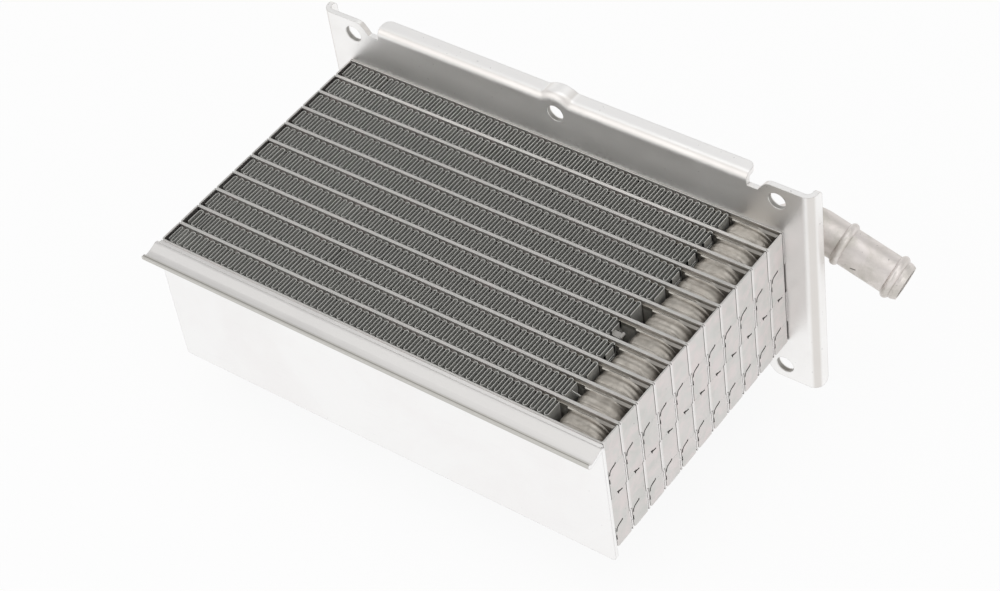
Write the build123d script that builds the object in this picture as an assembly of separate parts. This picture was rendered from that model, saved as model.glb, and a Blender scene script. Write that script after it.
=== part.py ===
"""Water-cooled charge-air cooler (intercooler) for a small turbocharged petrol engine.

A brazed aluminium stack: flat coolant tubes, each made of two pressed halves, with a folded air
fin in every gap between them. The stack stands off a flange that is screwed to the intake
manifold, and coolant comes and goes through two pipes behind that flange.

X runs along the fins, Y out of the manifold towards the pipes, and Z up, which is also the way
the charge air crosses the core. The origin is the middle of the six screw holes, on the face of
the flange that meets the manifold. All lengths are in millimetres.
"""

from math import atan2, cos, degrees, hypot, radians, sin
import os

from build123d import *

os.makedirs("parts", exist_ok=True)

# Core
CORE_LENGTH = 190.0
CORE_HEIGHT = 54.0
CORE_SHIFT = -1.0  # middle of the core along X, from the middle of the screw holes
TUBE_COUNT = 10
TUBE_PITCH = 10.0

# Pressed tube halves
SHEET = 0.6
RIM = 1.6  # flat brazed border around the coolant channel
CHANNEL_RISE = 0.5
DIVIDER = 3.0  # rib that parts the way in from the way back
RETURN_PASSAGE = 18.0  # open end of the channel, where the coolant turns back
MANIFOLD_LENGTH = 20.3  # end of each tube that carries the cups
PAD_RISE = 1.0
PAD_SLOPE = 0.5  # inward, over the height of the pad's shoulder
PAD_CORNER = 9.0
CUP_TO_PAD_EDGE = 0.7
CUP_OUTER_CORNER = 8.2  # beside the end of the core
CUP_INNER_CORNER = 4.0  # beside the air fins
CUP_WAVES = 2  # rings pressed round each deep cup
CUP_WAVE_DEPTH = 0.7
CUP_ROUND = 0.8  # at the end of each cup
CUP_SEAM = 2.8  # height of the shallow cup, from the middle of its tube
CUP_LAND = 2.6  # brazed ring around the hole in the end of each cup

# Fingers of the two halves, bent over to close both ends of each air gap
FINGER_BEND = 1.2  # outside radius
FINGER_CUTS = (15.0, 29.0, 43.7)  # below the top of the core
FINGER_CUT_WIDTH = 0.04
FINGER_END_GAP = 0.35
FINGER_CORNER = 1.2

# Creases that the bending leaves: outlines in Y from a tube and in Z from the cut beside them
SLANT = (
    (4.8, 0.5), (3.9, 0.45), (2.4, -0.1), (1.4, -0.95), (1.05, -2.6),
    (1.75, -2.6), (2.0, -1.5), (2.8, -0.75), (4.8, -0.3),
)
HOOK = ((4.3, -0.5), (5.3, -0.1), (5.4, 0.8), (4.8, 0.85), (4.4, 0.4))
TAIL = ((4.9, 0.45), (7.3, -0.2), (7.3, -0.75), (4.9, -0.35))
TICK = ((4.0, 1.0), (5.6, 0.5), (5.0, -1.2))
NICK = ((-0.4, -4.8), (1.4, -4.0), (1.4, -6.6))
CREASE_DEPTH = 0.42
NICK_DEPTH = 0.55

# Air fins
FIN_SHEET = 0.2
FIN_LEG_PITCH = 1.45
FIN_START = 2.0  # first leg, from the end of the core
FIN_FOLD = 0.5  # rise of each fold, from the end of a leg to its peak
FIN_BRAZE_GAP = 0.03
FIN_TO_PAD = 0.6  # at least, from the last leg
FIN_RECESS = 0.4  # below the rims of the tubes, at the top and at the bottom
FIN_LEGS_MISSING = (1, 1, 0, 0, 3, 2, 0, 0, 0, 0, 0)  # row by row, from the front plate

# Front end plate
PLATE_SHEET = 1.5
PLATE_BELOW_CORE = 4.5
PLATE_PAST_LEFT = 1.5
PLATE_PAST_RIGHT = 0.6
PLATE_CORNER = 1.8
LIP_CREST = 0.3  # below the top of the core
LIP_REACH = 8.0
LIP_SLOPE_REACH = 5.2
LIP_FLOOR = 2.2
LIP_RIM = 1.65
LIP_BENDS = (0.9, 5.0, 0.9)  # radii of the sheet's middle at the crest, the floor and the rim

# Flange
FLANGE_LENGTH = 212.0
FLANGE_HEIGHT = 95.0
FLANGE_SHEET = 2.0
END_RETURN = 6.5
END_BEND = 4.0
END_CORNER = 2.2
EDGE_LENGTH = 160.0  # of the edges bent back along the top and the bottom
EDGE_RETURN = 7.0
EDGE_BEND = 3.0
EDGE_CORNER = 3.0
NOTCH_WIDTH = 4.4
NOTCH_DEPTH = 4.6
NOTCH_CORNER = 1.0
EAR_SLOPE = 3.4  # along X, from the foot of the ear's shoulder to its top
EAR_CORNER = 4.0
SCREWS_X = 184.0
SCREWS_Z = 82.0
SCREW_HOLE = 7.0
ARCH_RADIUS = 10.5  # of the pressing that clears each middle screw's head
ARCH_RISE = 2.0
ARCH_BLEND = 3.0  # where the arch meets the straight edge

# Coolant pipes
PIPE_DIAMETER = 14.5
PIPE_WALL = 1.4
PIPE_FIT = 0.05
PIPE_STUB = 8.5
PIPE_BEND = 14.0
PIPE_TILT = 20.2  # degrees below the horizontal
PIPE_SWING = 2.2  # degrees away from the flange
SPIGOT_LENGTH = 33.5
BEAD_DIAMETER = 16.8
BEAD_WIDTH = 3.2
BEADS_FROM_END = (4.4, 25.4)
MOUTH_DIAMETER = 13.2
MOUTH_LENGTH = 1.6
COLLAR_DIAMETER = 21.0
COLLAR_LENGTH = 3.0
COLLAR_CHAMFER = 0.6

# Places that follow from the sizes
AIR_ROWS = TUBE_COUNT + 1
core_left = CORE_SHIFT - CORE_LENGTH / 2
core_right = CORE_SHIFT + CORE_LENGTH / 2
core_top = CORE_HEIGHT / 2
channel_face = SHEET + CHANNEL_RISE
pad_face = SHEET + PAD_RISE
pad_left = core_right - MANIFOLD_LENGTH
fin_start = core_left + FIN_START
fin_legs = 1 + int((pad_left - FIN_TO_PAD - fin_start) / FIN_LEG_PITCH)
pad_right = core_right - RIM
port_x = (pad_left + pad_right) / 2
port_z = (DIVIDER / 2 + core_top - RIM) / 2
pipe_radius = PIPE_DIAMETER / 2


def tube_plane(number):
    """Y of the middle of a tube; 0 is at the front end plate and AIR_ROWS at the flange."""
    return (number - AIR_ROWS) * TUBE_PITCH


# Drawing helpers


def slab(outline, low, high):
    """An outline drawn with X across and Z up, made solid from Y = low to Y = high."""
    back = Plane(origin=(0, high, 0), x_dir=(1, 0, 0), z_dir=(0, -1, 0))
    return extrude(back * outline, amount=high - low)


def block(x, y, z):
    """A box given by its low and high place along each axis."""
    size = [high - low for low, high in (x, y, z)]
    return Pos(*[(low + high) / 2 for low, high in (x, y, z)]) * Box(*size)


def polygon(points):
    return make_face(Polyline(*points, close=True))


def strip_edges(points, thickness):
    """The two edges of a strip whose middle follows the points, with mitred corners."""
    path = [Vector(*point) for point in points]
    normals = []
    for here, there in zip(path, path[1:]):
        along = (there - here).normalized()
        normals.append(Vector(-along.Y, along.X))
    sides = [normals[0]]
    for before, after in zip(normals, normals[1:]):
        sides.append((before + after) * (1 / (1 + before.dot(after))))
    sides.append(normals[-1])
    left = [point + side * (thickness / 2) for point, side in zip(path, sides)]
    right = [point - side * (thickness / 2) for point, side in zip(path, sides)]
    return left, right


def strip(points, thickness):
    left, right = strip_edges(points, thickness)
    return polygon([(point.X, point.Y) for point in left + right[::-1]])


def bent_sheet(points, thickness, radii):
    """Section of a bent sheet; the radii are those of its middle, one for each bend."""
    left, right = strip_edges(points, thickness)
    section = strip(points, thickness)
    for bend, radius in enumerate(radii, start=1):
        for corner, near in ((left[bend], right[bend]), (right[bend], left[bend])):
            inside = Vector(*points[bend - 1][:2]) + Vector(*points[bend + 1][:2]) - corner * 2
            is_inner = inside.dot(near - corner) < 0
            vertex = section.vertices().sort_by_distance(corner)[0]
            size = radius - thickness / 2 if is_inner else radius + thickness / 2
            section = fillet(vertex, size)
    return section


def export(solid, name):
    export_step(solid, f"parts/{name}.step")


# Pressed tube halves: each is drawn with its rim on Y = 0 and its channel towards +Y.


def lanes(inset, left):
    """Outline of the channel: two lanes parted by the divider, which stops short on the left."""
    height = CORE_HEIGHT - 2 * (RIM + inset)
    outline = Pos((left + pad_right) / 2, 0) * Rectangle(pad_right - left - 2 * inset, height)
    divider_left = core_left + RIM + RETURN_PASSAGE - inset
    divider_length = core_right - divider_left
    divider = Pos(divider_left + divider_length / 2, 0) * Rectangle(
        divider_length, DIVIDER + 2 * inset
    )
    outline -= divider
    pieces = []
    for face in outline.faces():
        corners = [v for v in face.vertices() if v.X > pad_right - inset - 0.01]
        pieces.append(fillet(corners, PAD_CORNER - inset))
    return Sketch() + pieces


def drawn(outline, wide, narrow, shrink):
    """An outline that is the same either way up, made narrower from Y = wide to Y = narrow."""
    height = abs(narrow - wide)
    base = Plane(origin=(0, wide, 0), x_dir=(1, 0, 0), z_dir=(0, (narrow - wide) / height, 0))
    return extrude(base * outline, amount=height, taper=degrees(atan2(shrink, height)))


def pads(inset):
    """The two raised ends of the lanes, or their insides when inset is the sheet's thickness."""
    outline = lanes(inset, pad_left)
    body = Part()
    for face in outline.faces():
        body += drawn(Pos(0, -2 * face.center().Y) * face, SHEET - inset, pad_face - inset, PAD_SLOPE)
    return body


def cup_outline(inset):
    width = pad_right - pad_left - 2 * (CUP_TO_PAD_EDGE + inset)
    height = core_top - RIM - DIVIDER / 2 - 2 * (CUP_TO_PAD_EDGE + inset)
    outline = make_face(Rectangle(width, height).edges())
    outline = fillet(outline.vertices().sort_by(Axis.X)[-2:], CUP_OUTER_CORNER - inset)
    return fillet(outline.vertices().sort_by(Axis.X)[:2], CUP_INNER_CORNER - inset)


def cup(height, inset=0.0):
    """The outside of a cup about Y, or its inside when inset is the sheet's thickness."""
    shoulder = height - CUP_ROUND
    if height < TUBE_PITCH / 2:
        body = slab(cup_outline(inset), 0, shoulder)
    else:
        body = slab(cup_outline(inset), 0, pad_face)
        half_wave = (shoulder - pad_face) / (2 * CUP_WAVES)
        for wave in range(CUP_WAVES):
            valley = pad_face + (2 * wave + 1) * half_wave
            for crest in (valley - half_wave, valley + half_wave):
                body += drawn(cup_outline(inset), crest, valley, CUP_WAVE_DEPTH)
    return body + drawn(cup_outline(inset), shoulder, height - inset, CUP_ROUND - inset)


def cup_hole(height):
    """The hole in the end of a cup, inside the ring that is brazed to the cup it meets."""
    return slab(cup_outline(CUP_ROUND + CUP_LAND), 0, height + 1)


def finger_ranges(first):
    """Z ranges of every second finger, counted from the top; first is 0 or 1."""
    levels = [core_top] + [core_top - cut for cut in FINGER_CUTS] + [-core_top]
    return [(low, high) for high, low in zip(levels, levels[1:])][first::2]


def finger(low, high):
    """A finger at the right end: it bends off the rim and crosses the air gap beside it."""
    is_last = low == -core_top
    if not is_last:
        low += FINGER_CUT_WIDTH / 2
    if high != core_top:
        high -= FINGER_CUT_WIDTH / 2
    free_end = TUBE_PITCH - SHEET - FINGER_END_GAP
    middle = SHEET / 2
    section = bent_sheet(
        (
            (core_right - 2 * FINGER_BEND, middle),
            (core_right - middle, middle),
            (core_right - middle, free_end),
        ),
        SHEET,
        (FINGER_BEND - middle,),
    )
    bent = extrude(Pos(0, 0, low) * section, amount=high - low)
    if not is_last:
        return bent
    corner = [
        edge
        for edge in bent.edges().filter_by(Axis.X)
        if edge.center().Z < low + 0.01 and edge.center().Y > free_end - 0.01
    ]
    return fillet(corner, FINGER_CORNER)


def end_cut(points, from_far_side, depth):
    """Cutter for the right end's face, from points in Y and Z of the gap between two tubes."""
    outline = polygon([(TUBE_PITCH - y if from_far_side else y, z) for y, z in points])
    face = Plane(origin=(core_right - depth, 0, 0), x_dir=(0, 1, 0), z_dir=(1, 0, 0))
    return extrude(face * outline, amount=depth + 1)


def finger_marks(from_far_side):
    """Cutters for the creases beside the three cuts."""
    beside_bend = ((SLANT, CREASE_DEPTH), (HOOK, CREASE_DEPTH), (NICK, NICK_DEPTH))
    amid = ((TAIL, CREASE_DEPTH), (TICK, CREASE_DEPTH))
    cutters = []
    for cut, outlines in zip(FINGER_CUTS, (beside_bend, amid, beside_bend)):
        for outline, depth in outlines:
            points = [(y, core_top - cut + z) for y, z in outline]
            cutters.append(end_cut(points, from_far_side, depth))
    return cutters


def tube_half(cup_height, first_finger, is_open=True):
    """One pressed half, rim on Y = 0 and channel towards +Y, with fingers at both ends."""
    body = slab(Pos(CORE_SHIFT, 0) * Rectangle(CORE_LENGTH, CORE_HEIGHT), 0, SHEET)
    body += slab(lanes(0, core_left + RIM), 0, channel_face)
    body += pads(0)
    hollow = slab(lanes(SHEET, core_left + RIM), 0, CHANNEL_RISE) + pads(SHEET)
    for side in (1, -1):
        place = Pos(port_x, 0, side * port_z)
        body += place * cup(cup_height)
        hollow += place * cup(cup_height, SHEET)
        if is_open:
            hollow += place * cup_hole(cup_height)
    body -= hollow

    ends = Part()
    for low, high in finger_ranges(first_finger):
        body -= block((core_left - 1, core_left + FINGER_BEND), (-1, channel_face), (low, high))
        body -= block((core_right - FINGER_BEND, core_right + 1), (-1, channel_face), (low, high))
        ends += finger(low, high)
    for mark in finger_marks(from_far_side=first_finger == 1):
        ends -= mark
        body -= mark
    middle = Plane(origin=(CORE_SHIFT, 0, 0), z_dir=(1, 0, 0))
    return body + ends + mirror(ends, about=middle)


rear_half = tube_half(CUP_SEAM, first_finger=0)
front_half = mirror(tube_half(TUBE_PITCH - CUP_SEAM, first_finger=1), about=Plane.XZ)
closing_half = tube_half(CUP_SEAM, first_finger=0, is_open=False)

export(Pos(0, tube_plane(0), 0) * closing_half, "front_closing_plate")
export(Pos(0, tube_plane(AIR_ROWS), 0) * front_half, "rear_closing_plate")
for tube in range(1, TUBE_COUNT + 1):
    export(Pos(0, tube_plane(tube), 0) * front_half, f"tube_{tube:02d}_front_half")
    export(Pos(0, tube_plane(tube), 0) * rear_half, f"tube_{tube:02d}_rear_half")


# Air fins


def fin(row):
    """The fin of one gap: a long strip folded back and forth between two tubes."""
    half_pitch = FIN_LEG_PITCH / 2
    peak = FIN_SHEET / 2 * hypot(half_pitch, FIN_FOLD) / half_pitch
    clearance = channel_face + FIN_BRAZE_GAP + peak
    near = tube_plane(row) + clearance
    far = tube_plane(row + 1) - clearance
    legs = fin_legs - FIN_LEGS_MISSING[row % len(FIN_LEGS_MISSING)]
    points = []
    for leg in range(legs):
        x = fin_start + leg * FIN_LEG_PITCH
        turn = 1 if leg % 2 == 0 else -1
        start, end = (near, far)[::turn]
        points.append((x, start if leg == 0 else start + turn * FIN_FOLD))
        if leg == legs - 1:
            points.append((x, end))
        else:
            points += [(x, end - turn * FIN_FOLD), (x + half_pitch, end)]
    outline = Pos(0, 0, FIN_RECESS - core_top) * strip(points, FIN_SHEET)
    return extrude(outline, amount=CORE_HEIGHT - 2 * FIN_RECESS)


for row in range(AIR_ROWS):
    export(fin(row), f"fin_{row + 1:02d}")


# Front end plate, with a gutter-shaped lip along its top


def front_end_plate():
    """The plate with its lip, bent from one sheet."""
    middle = tube_plane(0) - PLATE_SHEET / 2
    bottom = -core_top - PLATE_BELOW_CORE
    crest = core_top - LIP_CREST - PLATE_SHEET / 2
    floor = core_top - LIP_FLOOR - PLATE_SHEET / 2
    rim_y = middle - LIP_REACH
    section = bent_sheet(
        (
            (middle, bottom),
            (middle, crest),
            (middle - LIP_SLOPE_REACH, floor),
            (rim_y, floor),
            (rim_y, floor + LIP_RIM),
        ),
        PLATE_SHEET,
        LIP_BENDS,
    )
    left = core_left - PLATE_PAST_LEFT
    right = core_right + PLATE_PAST_RIGHT
    across = Plane(origin=(left, 0, 0), x_dir=(0, 1, 0), z_dir=(1, 0, 0))
    plate = extrude(across * section, amount=right - left)
    corner = plate.edges().filter_by(Axis.Y).sort_by_distance((right, middle, bottom))[0]
    return fillet(corner, PLATE_CORNER)


export(front_end_plate(), "front_end_plate")


# Flange: one pressed sheet, bent back along all four sides


def flange_notch():
    """Cutter for the notch and the sloping shoulder beside the top right ear."""
    top = FLANGE_HEIGHT / 2
    inner = EDGE_LENGTH / 2
    outline = polygon((
        (inner, top - NOTCH_DEPTH),
        (inner + NOTCH_WIDTH, top - NOTCH_DEPTH),
        (inner + NOTCH_WIDTH + EAR_SLOPE, top),
        (inner + NOTCH_WIDTH + EAR_SLOPE, top + EDGE_BEND),
        (inner, top + EDGE_BEND),
    ))
    corner = outline.vertices().sort_by_distance((inner + NOTCH_WIDTH, top - NOTCH_DEPTH))[0]
    return slab(fillet(corner, NOTCH_CORNER), -1, FLANGE_SHEET + 1)


def edge_outline(inset):
    """Outline of the flange's upper part, with the arch over the middle screw."""
    top = FLANGE_HEIGHT / 2 - inset
    outline = Pos(0, top / 2) * Rectangle(2 * EDGE_LENGTH, top)
    outline += Pos(0, FLANGE_HEIGHT / 2 + ARCH_RISE - ARCH_RADIUS) * Circle(ARCH_RADIUS - inset)
    feet = [v for v in outline.vertices() if abs(v.X) < EDGE_LENGTH / 2 and abs(v.Y - top) < 0.01]
    return fillet(feet, ARCH_BLEND + inset)


def rounded_slab(outline, low, high, radius):
    """A slab whose upper edges are rounded on its low side."""
    body = slab(outline, low, high)
    front = [
        edge
        for edge in body.edges()
        if abs(edge.center().Y - low) < 0.01 and edge.center().Z > FLANGE_HEIGHT / 4
    ]
    across = [edge for edge in front if edge.bounding_box().size.X > radius]
    return fillet(across, radius)


def flange_edge():
    """The edge bent back along the top, with the arch over the middle screw."""
    outside = rounded_slab(edge_outline(0), 0, EDGE_RETURN, EDGE_BEND)
    inside = rounded_slab(
        edge_outline(FLANGE_SHEET), FLANGE_SHEET, EDGE_RETURN + 1, EDGE_BEND - FLANGE_SHEET
    )
    low = FLANGE_HEIGHT / 2 - 2 * EDGE_BEND - ARCH_RISE
    half = EDGE_LENGTH / 2
    edge = (outside - inside) & block((-half, half), (-1, EDGE_RETURN + 1), (low, FLANGE_HEIGHT))
    free_corners = [
        e for e in edge.edges().filter_by(Axis.Z) if e.center().Y > EDGE_RETURN - 0.01
    ]
    return fillet(free_corners, EDGE_CORNER)


def flange():
    """The plate with its bent ends and edges, screw holes and pipe holes."""
    right = FLANGE_LENGTH / 2
    top = FLANGE_HEIGHT / 2
    middle = FLANGE_SHEET / 2
    section = bent_sheet(
        (
            (middle - right, END_RETURN),
            (middle - right, middle),
            (right - middle, middle),
            (right - middle, END_RETURN),
        ),
        FLANGE_SHEET,
        (END_BEND - middle, END_BEND - middle),
    )
    body = extrude(Pos(0, 0, -top) * section, amount=FLANGE_HEIGHT)
    free_corners = [e for e in body.edges().filter_by(Axis.X) if e.center().Y > END_RETURN - 0.01]
    body = fillet(free_corners, END_CORNER)
    half_edge = EDGE_LENGTH / 2
    depth = (-1, END_RETURN + 1)
    body -= block((-half_edge, half_edge), depth, (top - EDGE_BEND, top + 1))
    body -= block((-half_edge, half_edge), depth, (-top - 1, EDGE_BEND - top))
    notch = flange_notch()
    notch += mirror(notch, about=Plane.YZ)
    body -= notch + mirror(notch, about=Plane.XY)
    ear_start = half_edge + NOTCH_WIDTH + EAR_SLOPE
    ear_corners = [
        e
        for e in body.edges().filter_by(Axis.Y)
        if abs(abs(e.center().X) - ear_start) < 0.01 and abs(abs(e.center().Z) - top) < 0.01
    ]
    body = fillet(ear_corners, EAR_CORNER)
    edge = flange_edge()
    body += edge + mirror(edge, about=Plane.XY)
    screw_hole = Rot(90, 0, 0) * Cylinder(SCREW_HOLE / 2, 4 * FLANGE_SHEET)
    for x in (-SCREWS_X / 2, 0, SCREWS_X / 2):
        for z in (-SCREWS_Z / 2, SCREWS_Z / 2):
            body -= Pos(x, 0, z) * screw_hole
    pipe_hole = Rot(90, 0, 0) * Cylinder(pipe_radius + PIPE_FIT, 4 * FLANGE_SHEET)
    for z in (-port_z, port_z):
        body -= Pos(port_x, 0, z) * pipe_hole
    return body


export(flange(), "flange")


# Coolant pipes, each with a collar where it enters the flange


def pipe(side, direction):
    """A bent pipe; side is 1 for the upper port, and direction the way its end points."""
    tilt = radians(PIPE_TILT)
    swing = radians(PIPE_SWING)
    aim = Vector(direction * cos(tilt) * cos(swing), sin(swing), -sin(tilt) * cos(swing))
    start = Vector(port_x, 0, side * port_z)
    corner = start + Vector(0, PIPE_STUB + PIPE_BEND, 0)
    end = corner + aim * (PIPE_BEND + SPIGOT_LENGTH)
    route = FilletPolyline(start, corner, end, radius=PIPE_BEND)
    mouth = Plane(origin=start, z_dir=(0, 1, 0))
    outside = sweep(mouth * Circle(pipe_radius), route)
    inside = sweep(mouth * Circle(pipe_radius - PIPE_WALL), route)

    # Beads and the narrowed mouth, drawn about Z with Z = 0 at the pipe's end.
    spigot = Location(Plane(origin=end, z_dir=aim))
    half_bead = BEAD_WIDTH / 2
    inner = pipe_radius - PIPE_WALL / 2
    bulge = ThreePointArc(
        (pipe_radius, -half_bead), (BEAD_DIAMETER / 2, 0), (pipe_radius, half_bead)
    )
    root = Polyline(
        (pipe_radius, half_bead), (inner, half_bead), (inner, -half_bead), (pipe_radius, -half_bead)
    )
    bead = revolve(Plane.XZ * make_face(bulge + root), Axis.Z)
    for distance in BEADS_FROM_END:
        outside += spigot * Pos(0, 0, -distance) * bead
    taper = polygon((
        (pipe_radius, -MOUTH_LENGTH),
        (pipe_radius + 1, -MOUTH_LENGTH),
        (pipe_radius + 1, 1),
        (MOUTH_DIAMETER / 2, 1),
        (MOUTH_DIAMETER / 2, 0),
    ))
    outside -= spigot * revolve(Plane.XZ * taper, Axis.Z)
    return outside - inside


def collar(side):
    """The ring brazed round a pipe where it enters the flange."""
    standing = (Align.CENTER, Align.CENTER, Align.MIN)
    ring = Cylinder(COLLAR_DIAMETER / 2, COLLAR_LENGTH, align=standing)
    rim = ring.edges().filter_by(GeomType.CIRCLE).sort_by(Axis.Z)[-1]
    ring = chamfer(rim, COLLAR_CHAMFER)
    ring -= Cylinder(pipe_radius + PIPE_FIT, 3 * COLLAR_LENGTH)
    return Pos(port_x, FLANGE_SHEET, side * port_z) * Rot(-90, 0, 0) * ring


for name, side, direction in (("upper", 1, 1), ("lower", -1, -1)):
    export(pipe(side, direction), f"{name}_pipe")
    export(collar(side), f"{name}_pipe_collar")
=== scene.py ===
"""Looks of a water-cooled charge-air cooler: a brazed aluminium core on a screw-on flange.

All lengths are in metres, in the part's own frame: X along the fins, Y out of the manifold towards
the pipes, Z up.
"""

import math
import random

import bpy
from mathutils import Euler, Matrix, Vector


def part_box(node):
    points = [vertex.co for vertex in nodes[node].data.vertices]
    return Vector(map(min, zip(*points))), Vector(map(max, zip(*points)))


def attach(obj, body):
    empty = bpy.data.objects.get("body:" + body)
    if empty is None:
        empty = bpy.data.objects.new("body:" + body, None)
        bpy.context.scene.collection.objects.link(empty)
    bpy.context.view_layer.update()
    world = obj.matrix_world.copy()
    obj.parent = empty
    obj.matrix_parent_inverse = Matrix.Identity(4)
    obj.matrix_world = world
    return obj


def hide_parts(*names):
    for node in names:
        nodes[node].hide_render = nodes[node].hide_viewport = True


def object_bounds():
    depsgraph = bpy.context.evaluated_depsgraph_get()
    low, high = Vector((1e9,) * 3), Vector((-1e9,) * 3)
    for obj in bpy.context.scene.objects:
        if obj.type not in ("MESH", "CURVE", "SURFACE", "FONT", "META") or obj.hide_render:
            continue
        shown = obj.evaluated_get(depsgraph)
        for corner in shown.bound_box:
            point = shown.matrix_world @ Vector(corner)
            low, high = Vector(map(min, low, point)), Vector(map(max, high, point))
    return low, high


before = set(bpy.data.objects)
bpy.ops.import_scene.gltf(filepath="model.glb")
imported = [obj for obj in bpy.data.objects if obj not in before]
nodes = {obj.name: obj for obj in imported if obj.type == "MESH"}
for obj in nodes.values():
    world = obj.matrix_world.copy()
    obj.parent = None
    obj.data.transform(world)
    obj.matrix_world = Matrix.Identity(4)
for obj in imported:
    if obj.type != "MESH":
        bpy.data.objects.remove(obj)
cad_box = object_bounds()
MM = 0.001


# Front end plate. A 1.5 mm sheet brazed over the front of the core, with a gutter bent along its
# top. The braze leaves the sheet pale and satin, with faint smudges where it was handled.

PLATE_COLOUR = (0.975, 0.97, 0.965)
PLATE_SMUDGE = (0.92, 0.89, 0.885)
PLATE_EDGE = (0.70, 0.69, 0.68)
# painted shade on the plate's faces that look up: the gutter and the lip's top
GUTTER_SHADE_COLOUR = (0.74, 0.725, 0.71)
HEM_METAL_AND_SHADE = (0.60, 0.585, 0.55)  # the lip's rim, hemmed: bare cut metal on its top and painted shade down its front, over a thin dark gap
HEM_WIDTH = 1.5 * MM
HEM_HEIGHT = 0.5 * MM
HEM_BELOW_CORE = 1.0 * MM
HEM_FADE = 0.1 * MM
HEM_FACE = 2.0 * MM  # how far the painted shade reaches down the front of the lip
HEM_FACE_DEPTH = 0.3 * MM
HEM_GAP_COLOUR = (0.20, 0.19, 0.17)
HEM_GAP = 0.22 * MM
HEM_GAP_PLACE = 0.8 * MM
HEM_GAP_FADE = 0.08 * MM
# dark for dirt specks, and for painted shade with dirt in tight corners
DIRT_AND_SHADE_COLOUR = (0.20, 0.19, 0.18)  # in corners and spots, on every finish
RUBBED_COLOUR = (0.93, 0.92, 0.91)
SPOT_SIZE = 1.2 * MM
SPOT_STRENGTH = 0.6
SPOT_LEVEL = 0.78  # noise above this level, less the spots' share, is a spot
SPOT_SOFTNESS = 0.05
GRAIN_STRETCH = (60.0, 1400.0, 1400.0)
GRAIN_DEPTH = 0.05 * MM
BEYOND = 1.0  # a coloured box reaches this far on the sides where it needs no limit
AHEAD = 1.0 * MM  # a coloured box starts this far in front of the face that it colours


def group_socket(tree, name, kind, direction, value=None):
    """Gives a node group one named input or output."""
    socket = tree.interface.new_socket(name=name, in_out=direction, socket_type=f"NodeSocket{kind}")
    if value is not None:
        socket.default_value = value


def add_node(tree, kind, inputs=None, **settings):
    """Adds a shader node; inputs maps a socket's name or number to a value or to another socket."""
    made = tree.nodes.new(f"ShaderNode{kind}")
    for setting, value in settings.items():
        setattr(made, setting, value)
    for name, value in (inputs or {}).items():
        if isinstance(value, bpy.types.NodeSocket):
            tree.links.new(value, made.inputs[name])
        else:
            made.inputs[name].default_value = value
    return made


def reckon(tree, operation, *values):
    """One step of arithmetic on values or sockets."""
    return add_node(tree, "Math", dict(enumerate(values)), operation=operation).outputs[0]


def smooth_step(tree, value, low, high, to_low=0.0, to_high=1.0):
    """A soft step of a value, from to_low at low to to_high at high."""
    return add_node(
        tree, "MapRange",
        {"Value": value, "From Min": low, "From Max": high, "To Min": to_low, "To Max": to_high},
        interpolation_type="SMOOTHSTEP",
    ).outputs["Result"]


def blotch_group():
    """Cloudy stains that brazing and handling leave: one mask of large clouds and one of spots."""
    tree = bpy.data.node_groups.new("Braze clouds", "ShaderNodeTree")
    group_socket(tree, "Cloud size", "Float", "INPUT", 0.02)
    group_socket(tree, "Spot size", "Float", "INPUT", 0.002)
    group_socket(tree, "Spot share", "Float", "INPUT", 0.1)
    group_socket(tree, "Clouds", "Float", "OUTPUT")
    group_socket(tree, "Spots", "Float", "OUTPUT")
    entry = tree.nodes.new("NodeGroupInput")
    leave = tree.nodes.new("NodeGroupOutput")
    place = add_node(tree, "TexCoord").outputs["Object"]
    cloud_scale = reckon(tree, "DIVIDE", 1.0, entry.outputs["Cloud size"])
    clouds = add_node(
        tree, "TexNoise",
        {"Vector": place, "Scale": cloud_scale, "Detail": 5.0, "Roughness": 0.62,
         "Distortion": 0.6},
    ).outputs["Fac"]
    spot_scale = reckon(tree, "DIVIDE", 1.0, entry.outputs["Spot size"])
    spots = add_node(
        tree, "TexNoise",
        {"Vector": place, "Scale": spot_scale, "Detail": 3.0, "Roughness": 0.55},
    ).outputs["Fac"]
    start = reckon(tree, "SUBTRACT", SPOT_LEVEL, entry.outputs["Spot share"])
    full = reckon(tree, "ADD", start, SPOT_SOFTNESS)
    spot_mask = add_node(
        tree, "MapRange", {"Value": spots, "From Min": start, "From Max": full}
    ).outputs["Result"]
    tree.links.new(smooth_step(tree, clouds, 0.36, 0.68), leave.inputs["Clouds"])
    tree.links.new(spot_mask, leave.inputs["Spots"])
    return tree


def grain_group():
    """Fine rolled or drawn grain: long thin streaks along one axis, over a fine even tooth."""
    tree = bpy.data.node_groups.new("Rolled grain", "ShaderNodeTree")
    group_socket(tree, "Stretch", "Vector", "INPUT")
    group_socket(tree, "Height", "Float", "OUTPUT")
    entry = tree.nodes.new("NodeGroupInput")
    leave = tree.nodes.new("NodeGroupOutput")
    place = add_node(tree, "TexCoord").outputs["Object"]
    along = add_node(
        tree, "VectorMath", {0: place, 1: entry.outputs["Stretch"]}, operation="MULTIPLY"
    ).outputs[0]
    streaks = add_node(
        tree, "TexNoise", {"Vector": along, "Scale": 1.0, "Detail": 3.0, "Roughness": 0.6}
    ).outputs["Fac"]
    tooth = add_node(
        tree, "TexNoise", {"Vector": place, "Scale": 2600.0, "Detail": 2.0, "Roughness": 0.7}
    ).outputs["Fac"]
    mixed = add_node(
        tree, "Mix", {"Factor": 0.45, "A": streaks, "B": tooth}, data_type="FLOAT"
    ).outputs["Result"]
    tree.links.new(mixed, leave.inputs["Height"])
    return tree


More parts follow.
